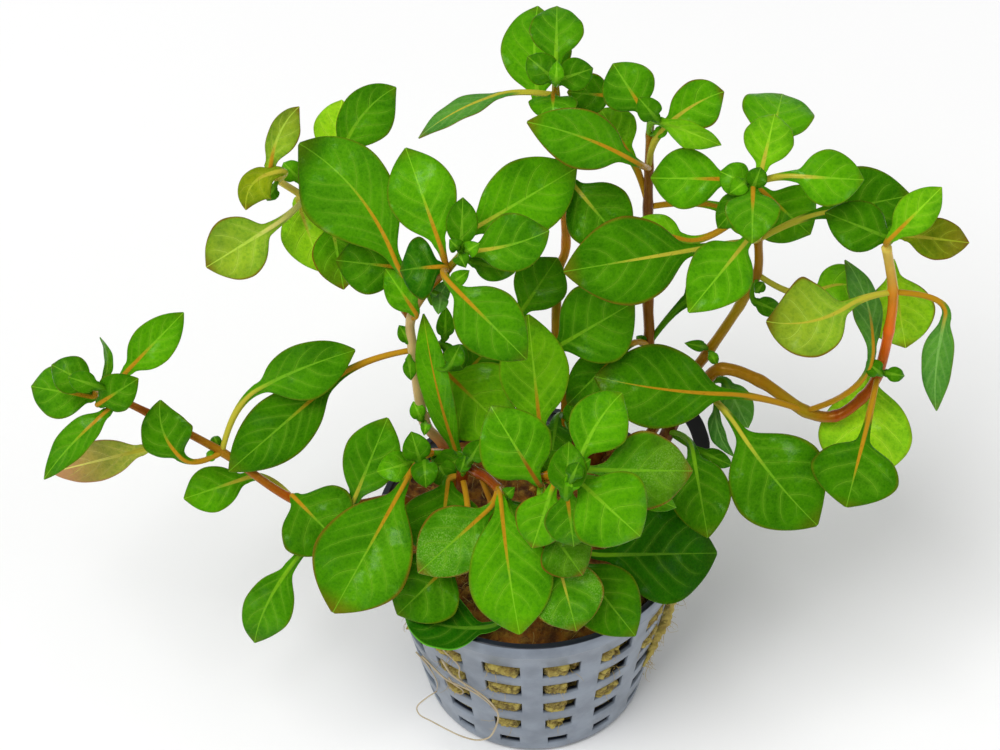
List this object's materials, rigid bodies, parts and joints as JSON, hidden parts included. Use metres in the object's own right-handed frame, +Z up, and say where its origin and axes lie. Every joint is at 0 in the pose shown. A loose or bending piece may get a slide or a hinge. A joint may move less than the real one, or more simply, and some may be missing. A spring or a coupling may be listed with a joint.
{
  "type": "potted aquatic plant",
  "caption": "Leafy aquatic plant with oval veined leaves on slender branching stems, rooted in a rockwool plug in a slotted net pot.",
  "frame": {"origin": "middle of the pot's underside, on the table", "axes": "+Z up, -Y to the viewer of the picture, +X to that viewer's right"},
  "size_m": [0.1549, 0.0795, 0.1216],
  "materials": {
    "leaf": "satin, veined",
    "stem": "smooth, satin",
    "pot": "matte",
    "rockwool": "fibrous",
    "strip": "satin",
    "root": "matte"
  },
  "bodies": {
    "root": {"back_leaf_2": "leaf", "back_leaf_3": "leaf", "back_leaf_4": "leaf", "back_stem": "stem", "black_strip": "strip", "bowed_leaf_3": "leaf", "bowed_leaf_5": "leaf", "bowed_leaf_7": "leaf", "bowed_leaf_8": "leaf", "bowed_leaf_9": "leaf", "bowed_stem": "stem", "fore_left_leaf_1": "leaf", "fore_left_leaf_2": "leaf", "fore_left_leaf_3": "leaf", "fore_left_leaf_4": "leaf", "fore_left_leaf_5": "leaf", "fore_left_leaf_6": "leaf", "fore_left_stem": "stem", "front_leaf_1": "leaf", "front_leaf_10": "leaf", "front_leaf_2": "leaf", "front_leaf_3": "leaf", "front_leaf_4": "leaf", "front_leaf_5": "leaf", "front_leaf_9": "leaf", "front_stem": "stem", "high_left_leaf_1": "leaf", "left_leaf_1": "leaf", "left_leaf_10": "leaf", "left_leaf_2": "leaf", "left_leaf_3": "leaf", "left_leaf_4": "leaf", "left_leaf_7": "leaf", "left_leaf_8": "leaf", "left_leaf_9": "leaf", "left_side_branch": "stem", "left_stem": "stem", "loose_root": "root", "low_left_leaf_1": "leaf", "low_left_leaf_12": "leaf", "low_left_leaf_13": "leaf", "low_left_leaf_2": "leaf", "low_right_leaf_1": "leaf", "low_right_leaf_2": "leaf", "low_right_leaf_3": "leaf", "lower_left_stem": "stem", "net_pot": "pot", "right_leaf_1": "leaf", "right_leaf_10": "leaf", "right_leaf_2": "leaf", "right_leaf_3": "leaf", "right_leaf_5": "leaf", "right_leaf_9": "leaf", "right_stem": "stem", "rockwool_plug": "rockwool", "tall_leaf_3": "leaf", "tall_stem": "stem", "upper_left_branch": "stem"}
  },
  "joints": []
}
